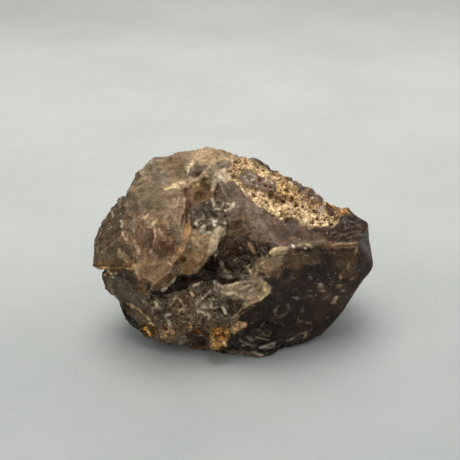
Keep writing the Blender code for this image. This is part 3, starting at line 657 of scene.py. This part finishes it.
    ((214, 176, 116), 1.2, 0.2, "146,328 148,332"),
    ((226, 206, 172), 1.2, 0.2, "212,338 214,342"),
    ((236, 210, 160), 1.2, 0.2, "224,342 226,346"),
    ((150, 84, 30), 1.4, -0.2, "220,332 222,338"),
    ((224, 184, 110), 1.2, 0.2, "234,333 238,330"),
]

# Small holes and specks: the finish, the colour, the radius in pixels, how far it stands out in mm, and the
# places.
SPOTS = [
    ("rust", (60, 36, 18), 2.2, -0.7,
     "279,216 283,201 292,199 300,191 271,195 318,217 313,222 332,223 297,205 288,190"),
    ("rust", (74, 46, 24), 1.4, -0.5,
     "276,198 286,196 304,199 309,195 296,192 322,222 306,216 326,218 266,186 260,180 270,186 303,206"),
    ("crust", (232, 206, 160), 1.5, 0.3,
     "262,195 268,199 296,210 302,214 309,215 324,224 330,218 336,222 281,207 273,208 287,207"),
    ("crust", (226, 196, 140), 1.2, 0.3, "284,186 290,194 295,198 286,192 299,203 280,188 314,205 307,190"),
    ("vein", (198, 186, 168), 1.0, 0.2, "312,198 251,184 266,180 257,186 272,183 291,204 316,194"),
    ("vein", (206, 188, 152), 1.0, 0.2, "108,271 113,277 116,273 105,275 111,274"),
    ("rust", (96, 56, 24), 1.3, -0.2, "102,272 107,276 119,272"),
    ("rust", (214, 160, 80), 1.3, 0.2, "144,330 150,334 216,330 226,333 219,346"),
    ("rust", (110, 62, 24), 1.3, -0.3, "220,341 225,337 214,334 189,326 198,332"),
    ("vein", (190, 174, 150), 0.9, 0.1, "240,248 267,256 262,258 305,248 327,233"),
    ("vein", (128, 114, 94), 0.9, 0.0, "304,256 333,285 348,268 344,291"),
]


def linear(colour):
    c = np.asarray(colour, float) / 255
    return np.where(c <= 0.04045, c / 12.92, ((c + 0.055) / 1.055) ** 2.4)


def line_distance(px, line):
    """Distance in pixels from each point to a line of straight stretches."""
    best = np.full(len(px), 1e9)
    for a, b in zip(line[:-1], line[1:]):
        a, b = np.array(a, float), np.array(b, float)
        ab = b - a
        t = np.clip(((px - a) @ ab) / max(ab @ ab, 1e-9), 0, 1)
        best = np.minimum(best, np.linalg.norm(px - (a + t[:, None] * ab), axis=1))
    return best


def inside_depth(px, outline):
    """Distance in pixels to the outline, above zero inside it."""
    corners = np.array(outline, float)
    inside = np.zeros(len(px), bool)
    for (xa, ya), (xb, yb) in zip(corners, np.roll(corners, -1, axis=0)):
        crosses = (ya > px[:, 1]) != (yb > px[:, 1])
        x = xa + (px[:, 1] - ya) / (yb - ya if yb != ya else 1e-9) * (xb - xa)
        inside ^= crosses & (px[:, 0] < x)
    depth = line_distance(px, [*outline, outline[0]])
    return np.where(inside, depth, -depth)


def path(text):
    """Pairs of numbers as a list of points."""
    return [tuple(float(v) for v in pair.split(",")) for pair in text.split()]


class Paint:
    """The colour, the finish and the fine height of every point, painted area over area."""

    def __init__(self, count):
        self.colour = np.zeros((count, 3))
        self.finish = np.zeros((count, 4))
        self.light = np.full(count, PLAIN_LIGHT)
        self.rise = np.zeros(count)

    def lay(self, kind, colour, share, light=None, rise=0.0):
        """Lays a colour, seen in that light, over a share of each point."""
        if light is not None:
            self.light = self.light * (1 - share) + light * share
        self.rise = self.rise * (1 - share) + rise * share
        share = share[:, None]
        stain = linear(colour) / self.light[:, None] / (1 - CLEAR_HIDES * FINISHES[kind][0])
        stain /= np.maximum(1, stain.max(axis=1, keepdims=True) / PALEST)
        self.colour = self.colour * (1 - share) + stain * share
        self.finish = self.finish * (1 - share) + np.array(FINISHES[kind]) * share


def rule_paint(points, normals, waves, faces):
    """What the sides have that the areas don't reach. faces is the level of each large broken face."""
    paint = Paint(len(points))
    broad, middle, small = waves
    x, y, z = points.T
    ones = np.ones(len(points))
    break_x = np.interp(z, [0, 8, 16, 25, 34, 40, 46], [17, 13, 8, 6, 4, 0, -2])
    broken = 1 - smooth_step(-3, 3, x - break_x + 4 * broad)
    paint.lay("glass", (46, 33, 24), ones, 0.6)
    paint.lay("glass", (66, 50, 37), smooth_step(-0.1, 0.5, broad + 0.4 * middle), 0.6)
    paint.lay("veil", (108, 92, 75), broken, 0.78)
    paint.lay("smoky", (70, 55, 43), broken * smooth_step(-0.06, -0.2, faces), 0.75)
    paint.lay("veil", (142, 125, 105), broken * smooth_step(0.08, 0.2, faces), 0.8)
    paint.lay("milky", (116, 98, 77), broken * smooth_step(0.05, 0.45, broad + 0.5 * middle), 0.75)
    paint.lay("fibrous", (84, 70, 56), broken * smooth_step(0.25, 0.5, -broad + 0.5 * middle), 0.7)
    paint.lay("crumbly", (100, 86, 70), broken * smooth_step(0.35, 0.6, middle - 0.5 * broad), 0.7)
    veins = smooth_step(0.035, 0.01, np.abs(broad + 0.15 * small))
    paint.lay("vein", (168, 150, 124), 0.8 * broken * veins, 0.8)
    foot = broken * smooth_step(7, 2, z + 3 * middle)
    paint.lay("rust", (118, 84, 50), foot * smooth_step(-0.1, 0.25, small), 0.42)
    edge = np.interp(x, [-6, -0.4, 4.3, 7.4, 11.5, 13.3, 15, 17.7, 23.2, 29.9, 34],
                     [-1, -1.5, -3.6, -4, -4.4, -6.2, -4, -2, -1.2, -1, 3]) - 3.2
    crust = (smooth_step(-6, 1, x) * (1 - smooth_step(30, 35, x)) * smooth_step(-0.6, 0.6, y - edge)
             * (1 - smooth_step(17, 22, y + 3 * broad)) * smooth_step(0.1, 0.45, normals[:, 2]))
    paint.lay("crust", (152, 124, 92), crust, 0.95)
    paint.lay("crust", (196, 168, 128), crust * smooth_step(0.0, 0.3, middle), 0.95)
    paint.lay("rust", (150, 108, 66), crust * smooth_step(0.1, 0.35, broad - 0.3 * middle), 0.9)
    return paint


def area_paint(paint, px, waves, seen):
    """The areas, lines and spots, where the camera sees the stone."""
    _, middle, small = waves
    for kind, colour, light, soft, outline in AREAS:
        depth = inside_depth(px, path(outline)) + soft * (0.5 * middle + 0.7 * small)
        paint.lay(kind, colour, seen * smooth_step(-soft / 2, soft / 2, depth), light)
    for colour, half, rise, line, *other in LINES:
        away = line_distance(px, path(line)) + half * 0.9 * small
        worn = 0.45 + 0.45 * smooth_step(-0.3, 0.2, middle - small)
        share = smooth_step(half + 0.6, half * 0.3, away) * worn
        paint.lay(other[0] if other else "vein", colour, seen * share, None, rise)
    for kind, colour, radius, rise, places in SPOTS:
        for place in path(places):
            away = np.linalg.norm(px - place, axis=1) * (1 + 0.7 * small)
            paint.lay(kind, colour, seen * smooth_step(radius + 0.6, radius * 0.5, away), None, rise)


def spread_unseen(paint, points, seen):
    """Where the camera doesn't see, the nearest seen colour runs on and fades out."""
    shown = np.flatnonzero(seen > 0.5)
    tree = KDTree(len(shown))
    for k, i in enumerate(shown):
        tree.insert(points[i], k)
    tree.balance()
    colour, finish = paint.colour.copy(), paint.finish.copy()
    for i in np.flatnonzero(seen <= 0.5):
        found = tree.find_n(points[i], 3)
        near = [shown[k] for _, k, _ in found]
        away = found[0][2]
        share = 1 - smooth_step(*RUN_ON_MM, away)
        if share > 0:
            colour[i] = colour[i] * (1 - share) + paint.colour[near].mean(0) * share
            finish[i] = finish[i] * (1 - share) + paint.finish[near].mean(0) * share
    paint.colour, paint.finish = colour, finish


def write_attribute(mesh, name, values):
    kind = "FLOAT_COLOR" if values.ndim == 2 else "FLOAT"
    layer = mesh.attributes.new(name, kind, "POINT")
    if values.ndim == 2:
        values = np.hstack([values, np.ones((len(values), 1))]).ravel()
        layer.data.foreach_set("color", values.astype(np.float32))
    else:
        layer.data.foreach_set("value", values.astype(np.float32))


# -------- the material


class Nodes:
    """Short calls for a material's nodes."""

    def __init__(self, name):
        self.material = bpy.data.materials.new(name)
        self.material.use_nodes = True
        self.tree = self.material.node_tree
        self.shader = self.tree.nodes["Principled BSDF"]
        self.out = self.tree.nodes["Material Output"]

    def add(self, kind, inputs=None, **settings):
        node = self.tree.nodes.new(kind)
        for key, value in settings.items():
            setattr(node, key, value)
        for key, value in (inputs or {}).items():
            if isinstance(value, bpy.types.NodeSocket):
                self.tree.links.new(value, node.inputs[key])
            else:
                node.inputs[key].default_value = value
        return node

    def link(self, a, b):
        self.tree.links.new(a, b)

    def math(self, operation, a, b=0.0, clamp=False):
        return self.add("ShaderNodeMath", {0: a, 1: b}, operation=operation, use_clamp=clamp).outputs[0]

    def times(self, a, b, clamp=False):
        return self.math("MULTIPLY", a, b, clamp)

    def plus(self, a, b, clamp=False):
        return self.math("ADD", a, b, clamp)

    def value(self, name):
        return self.add("ShaderNodeAttribute", attribute_name=name).outputs["Fac"]

    def noise(self, place, scale, detail=3.0, rough=0.6, distort=0.0):
        inputs = {"Vector": place, "Scale": scale, "Detail": detail, "Roughness": rough}
        return self.add("ShaderNodeTexNoise", {**inputs, "Distortion": distort}).outputs["Fac"]

    def voronoi(self, place, scale):
        return self.add("ShaderNodeTexVoronoi", {"Vector": place, "Scale": scale, "Randomness": 1.0})

    def turned(self, place, rotation, scale):
        inputs = {"Vector": place, "Rotation": rotation, "Scale": scale}
        return self.add("ShaderNodeMapping", inputs).outputs[0]

    def grey(self, value):
        return self.add("ShaderNodeCombineColor", {0: value, 1: value, 2: value}).outputs[0]

    def ridge(self, value, width):
        """1 along the lines where the noise crosses its middle, 0 away from them."""
        away = self.math("ABSOLUTE", self.math("SUBTRACT", value, 0.5))
        return self.steps(away, width, width * 0.2)

    def steps(self, value, low, high, to_low=0.0, to_high=1.0):
        inputs = {"Value": value, "From Min": low, "From Max": high, "To Min": to_low, "To Max": to_high}
        return self.add("ShaderNodeMapRange", inputs, interpolation_type="SMOOTHSTEP").outputs[0]

    def mix(self, share, a, b, blend="MIX"):
        node = self.tree.nodes.new("ShaderNodeMix")
        node.data_type = "RGBA"
        node.blend_type = blend
        for socket, value in ((node.inputs["Factor"], share), (node.inputs[6], a), (node.inputs[7], b)):
            if isinstance(value, bpy.types.NodeSocket):
                self.tree.links.new(value, socket)
            else:
                socket.default_value = value
        return node.outputs[2]

    def dyed(self, colour, other):
        """One colour times another, channel by channel."""
        return self.mix(1.0, colour, other, "MULTIPLY")


def stone_material():
    n = Nodes("smoky_quartz")
    place = n.add("ShaderNodeTexCoord").outputs["Object"]
    stain = n.add("ShaderNodeAttribute", attribute_name="stain").outputs["Color"]
    clear, rough, frost, crust = (n.value(name) for name in ("clearness", "roughness", "frost", "crust"))
    bare = n.steps(crust, 0.4, 0.1)

    # light and dark over everything, from clouds of 3 mm to single grains
    cloud = n.noise(place, 300, 3, 0.6, 0.4)
    mottle = n.noise(place, 950, 4, 0.7, 0.6)
    grain = n.noise(place, 2700, 2, 0.7)
    both = n.plus(n.times(mottle, 0.55), n.times(grain, 0.45))
    rough_light = n.steps(both, 0.39, 0.63, 0.36, 1.75)
    calm_light = n.times(n.steps(both, 0.36, 0.66, 0.72, 1.3), n.steps(cloud, 0.36, 0.64, 0.72, 1.3))
    broken = n.plus(n.steps(frost, 0.15, 0.7), crust, clamp=True)
    colour = n.dyed(stain, n.mix(broken, n.grey(calm_light), n.grey(rough_light)))

    # fibres and veils inside the clearer quartz, along the way it grew
    along = n.turned(place, (0.5, 0.9, 0.3), (0.4, 1.0, 1.0))
    fibre = n.steps(n.noise(along, 1300, 3, 0.65, 1.2), 0.36, 0.66, 0.82, 1.24)
    colour = n.mix(bare, colour, n.dyed(colour, n.grey(fibre)))

    # the smoke inside it is deep brown in some places and nearly black in others
    depth = n.steps(n.noise(place, 130, 3, 0.6, 0.6), 0.36, 0.64)
    smoke = n.mix(depth, (0.42, 0.38, 0.36, 1), (1.9, 1.62, 1.35, 1))
    colour = n.mix(n.steps(clear, 0.3, 0.75, 0.15, 1.0), colour, n.dyed(colour, smoke))

    # frost: thin pale rims of small breaks, pale crumbs, and dark gaps
    rims = n.ridge(n.noise(place, 520, 3, 0.6, 1.8), 0.055)
    curls = n.ridge(n.noise(along, 800, 2, 0.5, 2.6), 0.06)
    frosty = n.steps(frost, 0.45, 0.9, 0.0, 0.6)
    patch = n.plus(n.steps(n.noise(place, 400, 2, 0.5), 0.44, 0.58), frosty, clamp=True)
    other = n.steps(n.noise(place, 330, 2, 0.5, 0.5), 0.5, 0.62)
    crumb = n.noise(place, 1500, 3, 0.7, 0.6)
    pale = n.plus(n.times(rims, patch), n.times(n.steps(crumb, 0.58, 0.66), frost), clamp=True)
    pale = n.plus(pale, n.times(n.times(curls, other), 0.8), clamp=True)
    pale = n.times(n.times(pale, n.steps(frost, 0.0, 1.0, 0.22, 1.0)), bare)
    colour = n.mix(n.times(pale, 0.9), colour, n.mix(0.5, n.dyed(colour, (2.6, 2.5, 2.3, 1)),
                                                               (0.6, 0.53, 0.42, 1)))
    gaps = n.steps(n.noise(place, 1100, 3, 0.7, 0.8), 0.46, 0.38)
    gaps = n.times(gaps, n.steps(frost, 0.0, 1.0, 0.25, 1.0))
    colour = n.mix(n.times(gaps, 0.8), colour, n.dyed(colour, (0.2, 0.16, 0.12, 1)))

    # painted glints: small bright spots that stand in for light caught by tiny faces, in about one cell out
    # of four, with fine pale specks among them
    sway = n.add("ShaderNodeTexNoise", {"Vector": place, "Scale": 1800}).outputs["Color"]
    sway = n.add("ShaderNodeVectorMath", {0: sway, "Scale": 0.7 * MM}, operation="SCALE").outputs[0]
    bent = n.add("ShaderNodeVectorMath", {0: place, 1: sway}, operation="ADD").outputs[0]
    fleck = n.turned(bent, (0.9, 0.4, 1.1), (0.5, 1.1, 1.3))
    cell = n.voronoi(fleck, 600)
    chosen = n.steps(cell.outputs["Color"], 0.6, 0.66)
    glints_and_specks = n.times(n.steps(cell.outputs["Distance"], 0.2, 0.1), chosen)
    small = n.voronoi(fleck, 1200)
    dust = n.times(n.steps(small.outputs["Distance"], 0.3, 0.16), n.steps(small.outputs["Color"], 0.62, 0.68))
    dust = n.times(dust, n.steps(n.noise(place, 210, 2, 0.5), 0.45, 0.58, 0.25, 0.9))
    glints_and_specks = n.times(n.math("MAXIMUM", glints_and_specks, dust), bare)
    glints_and_specks = n.times(glints_and_specks, n.steps(frost, 0.0, 0.6, 0.5, 0.85))
    # the painted glints and the pale specks go into the colour
    colour = n.mix(glints_and_specks, colour, (0.66, 0.6, 0.5, 1))

    # crust: cream and golden patches, brown pits, and a painted highlight on the top of its grains
    full = n.steps(crust, 0.55, 0.9)
    golden = n.steps(n.noise(place, 330, 3, 0.6, 0.6), 0.46, 0.58)
    colour = n.mix(n.times(n.times(golden, full), 0.75), colour,
                   n.dyed(colour, (0.84, 0.74, 0.6, 1)))
    cells = n.voronoi(bent, 800).outputs["Distance"]
    pits = n.noise(place, 480, 4, 0.72, 0.9)
    pit = n.times(n.steps(pits, 0.49, 0.41), crust)
    colour = n.mix(n.times(pit, 0.88), colour, n.mix(0.5, n.dyed(colour, (0.28, 0.2, 0.13, 1)),
                                                               (0.05, 0.032, 0.02, 1)))
    # painted highlight: the tops of the crust's grains are made paler, as light from above would make them
    grain_top_highlight = n.times(n.steps(cells, 0.45, 0.1), full)
    colour = n.mix(n.times(grain_top_highlight, 0.7), colour, n.dyed(colour, (2.3, 2.3, 2.2, 1)))

    # rust: dark brown scabs and orange powder
    rusty = n.times(n.steps(crust, 0.15, 0.4), n.steps(crust, 0.9, 0.55))
    scab = n.steps(n.noise(place, 620, 4, 0.7, 0.8), 0.47, 0.57)
    colour = n.mix(n.times(rusty, 0.8), colour,
                   n.dyed(colour, n.mix(scab, (0.4, 0.33, 0.3, 1), (1.75, 1.6, 1.4, 1))))
    n.link(colour, n.shader.inputs["Base Color"])

    wear = n.steps(n.noise(place, 1300, 3), 0.35, 0.7, -0.08, 0.14)
    dull = n.math("SUBTRACT", n.plus(rough, wear), n.times(glints_and_specks, 0.2), clamp=True)
    n.link(dull, n.shader.inputs["Roughness"])
    opaque = n.math("MAXIMUM", glints_and_specks, n.times(pale, 0.8))
    glassy = n.times(clear, n.math("SUBTRACT", 1.0, opaque), clamp=True)
    n.link(glassy, n.shader.inputs["Transmission Weight"])
    n.shader.inputs["IOR"].default_value = QUARTZ_IOR
    n.shader.inputs["Specular IOR Level"].default_value = 0.1
    n.shader.inputs["Specular Tint"].default_value = (0.5, 0.41, 0.32, 1)

    # relief too fine for the mesh
    chips = n.plus(n.times(mottle, 0.7), n.times(crumb, 0.6))
    height = n.plus(n.times(chips, n.steps(frost, 0.0, 1.0, 0.18, 1.4)),
                    n.times(n.plus(pits, n.times(cells, -0.6)), crust))
    height = n.plus(height, n.times(pale, 0.25))
    bump = n.add("ShaderNodeBump", {"Height": height, "Strength": 0.8, "Distance": 0.5 * MM})
    n.link(bump.outputs[0], n.shader.inputs["Normal"])

    absorb = n.add("ShaderNodeVolumeAbsorption")
    absorb.inputs["Color"].default_value = SMOKE_COLOUR
    absorb.inputs["Density"].default_value = SMOKE_DENSITY
    n.link(absorb.outputs[0], n.out.inputs["Volume"])
    return n.material


def floor_material():
    n = Nodes("pale_board")
    place = n.add("ShaderNodeTexCoord").outputs["Object"]
    cloud = n.steps(n.noise(place, 14, 4, 0.55), 0.3, 0.7)
    fine = n.steps(n.noise(place, 900, 2, 0.6), 0.3, 0.7)
    colour = n.mix(cloud, (0.47, 0.5, 0.49, 1), (0.53, 0.55, 0.54, 1))
    colour = n.mix(n.times(fine, 0.25), colour, (0.6, 0.61, 0.6, 1))
    # painted light and shade on the board: brighter just behind the stone, darker farther back
    back = n.add("ShaderNodeSeparateXYZ", {0: place}).outputs["Y"]
    colour = n.mix(n.steps(back, -0.05, 0.12), colour, n.dyed(colour, (1.22, 1.2, 1.18, 1)))
    colour = n.mix(n.steps(back, 0.22, 0.5), colour, n.dyed(colour, (0.62, 0.61, 0.58, 1)))
    n.link(colour, n.shader.inputs["Base Color"])
    n.shader.inputs["Roughness"].default_value = 0.7
    n.shader.inputs["Specular IOR Level"].default_value = 0.2
    return n.material


# -------- the stone


def relief_mm(points, paint, faces, hidden):
    """How far each point moves out, in millimetres."""
    clear, _, frost, crust = paint.finish.T
    plates = cracks(points, PLATES_MM, 1)
    crumbs = cracks(points, CRUMBS_MM, 2)
    fine = wave(points, FINE_MM, 4)
    broken = np.clip(1.15 - 1.6 * clear, 0, 1)
    out = broken * (0.1 + 0.4 * frost) * plates + (0.22 * frost + 0.02 * broken) * crumbs
    out += crust * (0.2 * plates + 0.26 * crumbs + 0.12 * fine)
    return out + 0.02 * fine * broken + paint.rise + 0.5 * faces * broken * hidden


def build_stone():
    mesh = fine_mesh(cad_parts[NODE])
    points = pushed(read(mesh.vertices, "co") / MM)
    mesh.vertices.foreach_set("co", (points * MM).astype(np.float32).ravel())
    mesh.update()
    normals = read(mesh.vertex_normals, "vector")
    waves = [wave(points, size, seed) for seed, size in enumerate(CLOUDS_MM, 1)]
    seen = seen_share(mesh, points, normals)
    faces = cracks(points + FACES_BEND_MM * waves[1][:, None], FACES_MM, 5)
    paint = rule_paint(points, normals, waves, faces)
    area_paint(paint, photo_pixels(points), waves, seen)
    spread_unseen(paint, points, seen)

    moved = points + normals * relief_mm(points, paint, faces, 1 - seen)[:, None]
    moved[points[:, 2] < FOOT_MM, 2] = 0
    moved[:, 2] = np.maximum(moved[:, 2], 0)
    mesh.vertices.foreach_set("co", (moved * MM).astype(np.float32).ravel())
    write_attribute(mesh, "stain", np.clip(paint.colour, 0, 1))
    for k, name in enumerate(("clearness", "roughness", "frost", "crust")):
        write_attribute(mesh, name, paint.finish[:, k])
    mesh.materials.clear()
    mesh.materials.append(stone_material())
    mesh.shade_smooth()
    mesh.set_sharp_from_angle(angle=SHARP_FROM)
    mesh.update()
    stone = bpy.data.objects.new("quartz_stone", mesh)
    bpy.context.scene.collection.objects.link(stone)
    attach(stone, "root")
    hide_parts(NODE)


# -------- the setting


def add_floor():
    """A pale board that lies flat under the stone and rises behind it."""
    mesh = bpy.data.meshes.new("floor")
    bm = bmesh.new()
    profile = [(FLOOR_FRONT, 0.0), (FLOOR_BEND, 0.0)]
    profile += [(FLOOR_BEND + BEND_RADIUS * math.sin(a), BEND_RADIUS - BEND_RADIUS * math.cos(a))
                for a in np.linspace(0.1, math.pi / 2, 14)]
    profile += [(FLOOR_BEND + BEND_RADIUS, WALL_TOP)]
    rows = [[bm.verts.new((x, y, z)) for x in (-FLOOR_HALF_WIDTH, FLOOR_HALF_WIDTH)] for y, z in profile]
    for low, high in zip(rows[:-1], rows[1:]):
        bm.faces.new((low[0], low[1], high[1], high[0]))
    bm.to_mesh(mesh)
    bm.free()
    mesh.materials.append(floor_material())
    mesh.shade_smooth()
    floor = bpy.data.objects.new("floor", mesh)
    bpy.context.scene.collection.objects.link(floor)


def looking(place, ahead):
    """The matrix of a light or a camera at a place that looks ahead."""
    return Matrix.Translation(place) @ ahead.to_track_quat("-Z", "Y").to_matrix().to_4x4()


def add_light(name, place_mm, size_mm, watts, colour, aim_mm):
    data = bpy.data.lights.new(name, "AREA")
    data.shape = "RECTANGLE"
    data.size, data.size_y = size_mm[0] * MM, size_mm[1] * MM
    data.energy = watts
    data.color = colour
    light = bpy.data.objects.new(name, data)
    place = Vector(place_mm) * MM
    aim = Vector(aim_mm) * MM
    light.matrix_world = looking(place, aim - place)
    bpy.context.scene.collection.objects.link(light)


def add_world():
    world = bpy.data.worlds.new("room")
    world.use_nodes = True
    background = world.node_tree.nodes["Background"]
    background.inputs["Color"].default_value = (0.98, 1.0, 0.99, 1)
    background.inputs["Strength"].default_value = 0.5
    bpy.context.scene.world = world


def add_camera():
    data = bpy.data.cameras.new("camera")
    data.sensor_fit = "HORIZONTAL"
    data.sensor_width = SENSOR_MM
    data.lens = SENSOR_MM / 2 / math.tan(HALF_VIEW)
    data.clip_start, data.clip_end = 0.01, 10
    camera = bpy.data.objects.new("camera", data)
    camera.matrix_world = looking(EYE_MM * MM, AHEAD)
    bpy.context.scene.collection.objects.link(camera)
    bpy.context.scene.camera = camera


build_stone()
add_floor()
add_light("window", (-40, 20, 600), (420, 360), 2.1, (1.0, 0.975, 0.94), (0, 0, 20))
add_light("far window", (60, 420, 420), (400, 260), 0.55, (0.99, 1.0, 0.98), (30, 260, 0))
add_world()
add_camera()
bpy.context.scene.view_settings.view_transform = "Standard"
